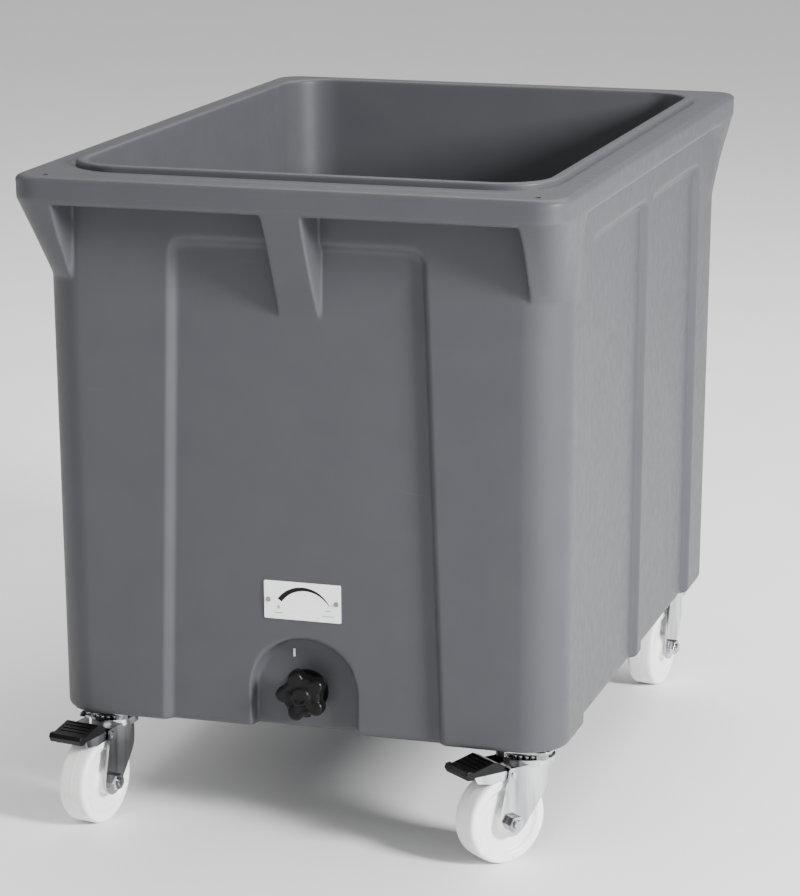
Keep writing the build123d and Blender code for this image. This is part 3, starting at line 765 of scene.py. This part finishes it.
def bright_zinc(name, dark, light, smooth, rough):
    """Bright metal plate: a change of tint in streaks along Z, drawn grain and small differences in gloss; on
    the zinc slot the tint runs from dark to bright and paints reflection stripes.
    """
    f = Finish(name, 1.0)
    # Tint streaks along Z; with the zinc slot's wide dark-to-bright range they are painted reflection
    # stripes.
    tint = f.noise(60.0, 2.0, (1, 1, 0.10))
    base = f.mix(f.remap(tint, 0.38, 0.62, 0, 1), dark, light)
    stain = f.remap(f.noise(120.0, 5.0), 0.64, 0.78, 0, 0.35)
    base = f.mix(stain, base, tuple(c * 0.6 for c in dark))
    f.bump(f.noise(420.0, 3.0, (1, 1, 0.08)), 0.05, 0.0001)
    level = f.remap(f.noise(90.0, 4.0), 0.3, 0.7, smooth, rough)
    return f.done(base, level)


def moulded_nylon(name):
    """Cast white nylon: slightly milky, with a turned grain and light road dust."""
    f = Finish(name, sockets={"Subsurface Weight": 0.12, "Subsurface Scale": 0.004})
    cloud = f.noise(28.0, 4.0)
    base = f.mix(f.remap(cloud, 0.3, 0.7, 0, 1), (0.86, 0.86, 0.85), (0.93, 0.93, 0.92))
    dust = f.remap(f.noise(160.0, 6.0, twist=0.8), 0.62, 0.74, 0, 0.22)
    base = f.mix(dust, base, (0.56, 0.55, 0.53))
    f.bump(f.noise(700.0, 3.0), 0.08, 0.00012)
    rough = f.remap(f.noise(55.0, 4.0), 0.3, 0.7, 0.28, 0.42)
    return f.done(base, rough)


def grained_plastic(name, dark, light, smooth, rough, grain):
    """Injection-moulded plastic with a fine spark-eroded grain."""
    f = Finish(name, sockets={"Specular IOR Level": 0.18})
    base = f.mix(f.remap(f.noise(60.0, 4.0), 0.3, 0.7, 0, 1), dark, light)
    rub = f.remap(f.noise(240.0, 6.0, twist=1.2), 0.66, 0.78, 0, 0.3)
    base = f.mix(rub, base, tuple(min(c * 2.6, 0.9) for c in light))
    f.bump(f.noise(grain, 2.0), 0.18, 0.00012)
    return f.done(base, f.remap(f.noise(110.0, 3.0), 0.3, 0.7, smooth, rough))


def cut_foam(name):
    """Cream foam with fine open pores."""
    f = Finish(name)
    pores = f.cells(520.0)
    # The pore centres are painted darker than the cell walls: painted shade in the pits.
    base = f.mix(f.remap(pores, 0.0, 0.8, 0, 1), (0.62, 0.52, 0.30), (0.86, 0.78, 0.52))
    f.bump(pores, 0.5, 0.0006)
    return f.done(base, f.remap(f.noise(80.0), 0.3, 0.7, 0.78, 0.92))


def label_face(name):
    """Pale printed plate with a fine brushed grain along its length."""
    f = Finish(name, sockets={"Coat Weight": 0.3, "Coat Roughness": 0.12})
    grain = f.noise(900.0, 2.0, (0.04, 1, 1))
    base = f.mix(f.remap(grain, 0.3, 0.7, 0, 1), (0.90, 0.91, 0.92), (0.96, 0.96, 0.97))
    f.bump(grain, 0.05, 0.00008)
    return f.done(base, f.remap(f.noise(140.0, 3.0), 0.3, 0.7, 0.30, 0.42))


SLOT_FINISH = {
    "tote_plastic": moulded_polyethylene("tote_polyethylene", (0.060, 0.062, 0.069), (0.065, 0.067, 0.074)),
    "foam": cut_foam("foam"),
    "white_paint": grained_plastic("white_paint", (0.74, 0.74, 0.73), (0.84, 0.84, 0.83), 0.4, 0.55, 900.0),
    # Zinc: its dark-to-bright tint streaks are painted reflection stripes.
    "zinc": bright_zinc("zinc_plate", (0.27, 0.28, 0.30), (0.66, 0.67, 0.68), 0.10, 0.20),
    "chrome": bright_zinc("ball_steel", (0.76, 0.77, 0.79), (0.84, 0.85, 0.86), 0.06, 0.12),
    "brass": bright_zinc("brass", (0.62, 0.47, 0.20), (0.76, 0.60, 0.30), 0.22, 0.36),
    "aluminium": bright_zinc("rivet_aluminium", (0.26, 0.26, 0.27), (0.36, 0.36, 0.37), 0.30, 0.44),
    "nylon": moulded_nylon("wheel_nylon"),
    "black_plastic": grained_plastic(
        "black_plastic", (0.003, 0.003, 0.0034), (0.005, 0.005, 0.0055), 0.26, 0.38, 1300.0
    ),
    "rubber": grained_plastic("rubber", (0.018, 0.018, 0.018), (0.028, 0.028, 0.028), 0.66, 0.82, 1700.0),
    "label": label_face("label_face"),
}
INK = grained_plastic("label_ink", (0.004, 0.004, 0.004), (0.007, 0.007, 0.007), 0.40, 0.52, 1600.0)
PALE_INK = grained_plastic("label_grey_ink", (0.34, 0.34, 0.35), (0.42, 0.42, 0.43), 0.32, 0.45, 1600.0)


EASED_SLOTS = ("zinc", "black_plastic", "label")
PLAIN_EDGED = ("knob", "fork")


def finish_nodes():
    """Give every CAD node the finish of its slot, and ease the sharp edges of the small hard ones."""
    for part in frame["record"]["subparts"]:
        obj = frame["nodes"][part["node"]]
        obj.data.materials.clear()
        obj.data.materials.append(SLOT_FINISH[part["material_slot"]])
        if part["material_slot"] in EASED_SLOTS and not part["node"].endswith(PLAIN_EDGED):
            ease_edges(obj, 0.00045)


def ease_edges(obj, width):
    """Break the sharp edges of a CAD mesh by a small rounded bevel."""
    weld = obj.modifiers.new("weld", "WELD")
    weld.merge_threshold = 0.00001
    bevel = obj.modifiers.new("ease", "BEVEL")
    bevel.width = width
    bevel.segments = 2
    bevel.limit_method = "ANGLE"
    bevel.angle_limit = math.radians(35)
    bevel.harden_normals = True


finish_nodes()
build_shell(SLOT_FINISH["tote_plastic"])
build_tub(SLOT_FINISH["tote_plastic"])
build_knob(SLOT_FINISH["black_plastic"])
build_label_print(INK, PALE_INK)
build_wheels(SLOT_FINISH["nylon"])


# ---------------------------------------------------------------- studio
def floor():
    """A wide, plain, pale floor."""
    bpy.ops.mesh.primitive_plane_add(size=60, location=(0, 0, 0))
    plane = bpy.context.object
    plane.name = "studio_floor"
    f = Finish("floor_paint")
    base = f.mix(f.remap(f.noise(3.0, 4.0), 0.3, 0.7, 0, 1), (0.93, 0.93, 0.93), (0.95, 0.95, 0.95))
    plane.data.materials.append(f.done(base, f.remap(f.noise(12.0), 0.3, 0.7, 0.55, 0.65)))


def area_light(name, where, target, size, power):
    data = bpy.data.lights.new(name, "AREA")
    data.shape = "RECTANGLE"
    data.size, data.size_y = size
    data.energy = power
    lamp = bpy.data.objects.new(name, data)
    lamp.location = where
    lamp.rotation_euler = (Vector(target) - Vector(where)).to_track_quat("-Z", "Y").to_euler()
    bpy.context.scene.collection.objects.link(lamp)


def camera():
    data = bpy.data.cameras.new("camera")
    data.sensor_width = 36.0
    data.lens = 132.0
    data.clip_end = 100
    cam = bpy.data.objects.new("camera", data)
    cam.location = (1.097, -3.665, 1.280)
    aim = Vector((0.0, -0.02, 0.368))
    cam.rotation_euler = (aim - cam.location).to_track_quat("-Z", "Y").to_euler()
    bpy.context.scene.collection.objects.link(cam)
    bpy.context.scene.camera = cam


def world():
    """White overhead and below, with a darker band at eye level that gives the metal its contrast."""
    w = bpy.data.worlds.new("studio")
    w.use_nodes = True
    nodes, links = w.node_tree.nodes, w.node_tree.links
    split = nodes.new("ShaderNodeSeparateXYZ")
    links.new(nodes.new("ShaderNodeTexCoord").outputs["Generated"], split.inputs[0])
    ramp = nodes.new("ShaderNodeValToRGB")
    links.new(split.outputs["Z"], ramp.inputs["Fac"])
    stops = ((0.0, 0.85), (0.08, 0.30), (0.30, 0.32), (0.55, 1.0))
    while len(ramp.color_ramp.elements) < len(stops):
        ramp.color_ramp.elements.new(0.5)
    for element, (height, level) in zip(ramp.color_ramp.elements, stops):
        element.position = height
        element.color = (level, level, level, 1)
    back = nodes["Background"]
    links.new(ramp.outputs["Color"], back.inputs["Color"])
    back.inputs["Strength"].default_value = 0.75
    bpy.context.scene.world = w


floor()
world()
area_light("key", (3.7, -1.6, 1.9), (0, 0, 0.4), (0.9, 0.9), 420)
area_light("front", (-0.4, -4.4, 2.0), (0, 0, 0.4), (2.2, 1.6), 16)
area_light("left_edge", (-3.0, -0.4, 1.4), (0, 0, 0.4), (0.6, 1.6), 12)
area_light("top", (0.2, 1.6, 3.4), (0, 0.6, 0), (3.4, 3.4), 120)
camera()
